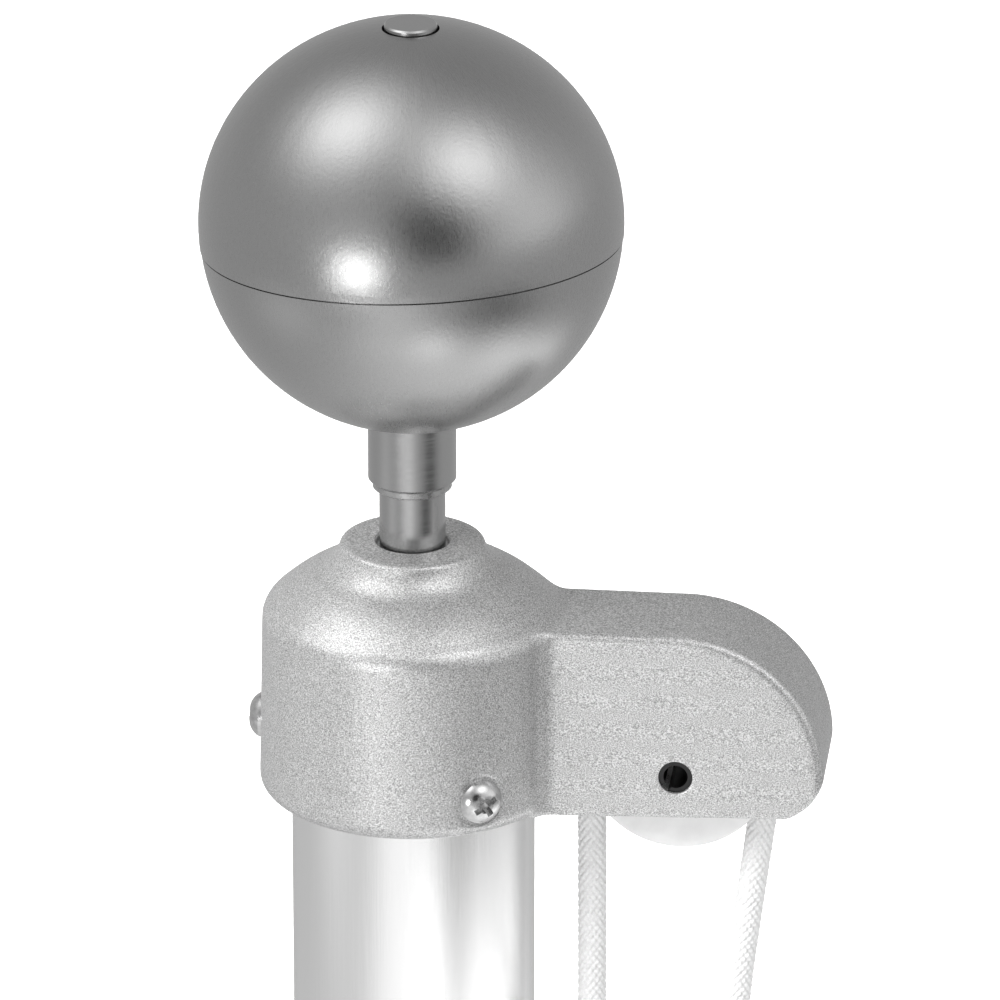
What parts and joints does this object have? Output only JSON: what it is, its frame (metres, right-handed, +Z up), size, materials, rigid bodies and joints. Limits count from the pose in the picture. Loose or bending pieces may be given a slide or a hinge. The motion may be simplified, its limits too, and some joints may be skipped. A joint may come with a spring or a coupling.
{
  "type": "flagpole head",
  "caption": "Flagpole head: ball finial on a spindle, cast cap truck with a pulley in its arm, braided halyard ending in swivel snap hooks, and the top of the pole.",
  "frame": {"origin": "centre of the pole's open lower end", "axes": "+Z up along the pole, +X along the pulley arm, away from the pole"},
  "size_m": [0.1141, 0.0762, 0.2789],
  "materials": {
    "spun_aluminium": "satin anodised, fine brushing",
    "turned_aluminium": "turned",
    "cast_aluminium": "sand cast, tumbled",
    "brushed_aluminium": "satin brushed along the tube",
    "stainless_steel": "polished",
    "zinc_steel": "zinc plated",
    "spring_steel": "plain",
    "dark_steel": "oiled",
    "nylon": "natural white nylon",
    "polyester_rope": "diamond braid"
  },
  "bodies": {
    "pole_head": {"ball_upper_shell": "spun_aluminium", "ball_lower_shell": "spun_aluminium", "ball_top_washer": "zinc_steel", "spindle": "turned_aluminium", "ball_collar": "turned_aluminium", "collar_snap_ring": "spring_steel", "truck_casting": "cast_aluminium", "truck_screws": "stainless_steel", "spindle_jam_nut": "zinc_steel", "spindle_lock_washer": "zinc_steel", "sheave_pin": "dark_steel", "pole_tube": "brushed_aluminium", "halyard": "polyester_rope", "halyard_knot_a": "polyester_rope", "snap_a_eye": "stainless_steel", "halyard_knot_b": "polyester_rope", "snap_b_eye": "stainless_steel"},
    "sheave": {"sheave": "nylon"},
    "snap_a": {"snap_a_hook": "stainless_steel", "snap_a_spring": "spring_steel"},
    "snap_a_bolt": {"snap_a_bolt": "stainless_steel"},
    "snap_b": {"snap_b_hook": "stainless_steel", "snap_b_spring": "spring_steel"},
    "snap_b_bolt": {"snap_b_bolt": "stainless_steel"}
  },
  "joints": [
    {"name": "sheave_spin", "type": "hinge", "parent": "pole_head", "child": "sheave", "pos_m": [0.0492, 0, 0.1405], "axis": [0, 1, 0], "continuous": true},
    {"name": "snap_a_swivel", "type": "hinge", "parent": "pole_head", "child": "snap_a", "pos_m": [0.033, 0, 0.0465], "axis": [0, 0, 1], "continuous": true},
    {"name": "snap_a_bolt_slide", "type": "slide", "parent": "snap_a", "child": "snap_a_bolt", "axis": [0, 0, 1], "range_m": [0, 0.0064], "stiffness_N_per_m": 150, "springref_m": -0.004, "deforming": ["snap_a_spring"]},
    {"name": "snap_b_swivel", "type": "hinge", "parent": "pole_head", "child": "snap_b", "pos_m": [0.05944, 0, 0.0465], "axis": [0, 0, 1], "continuous": true},
    {"name": "snap_b_bolt_slide", "type": "slide", "parent": "snap_b", "child": "snap_b_bolt", "axis": [0, 0, 1], "range_m": [0, 0.0064], "stiffness_N_per_m": 150, "springref_m": -0.004, "deforming": ["snap_b_spring"]}
  ]
}
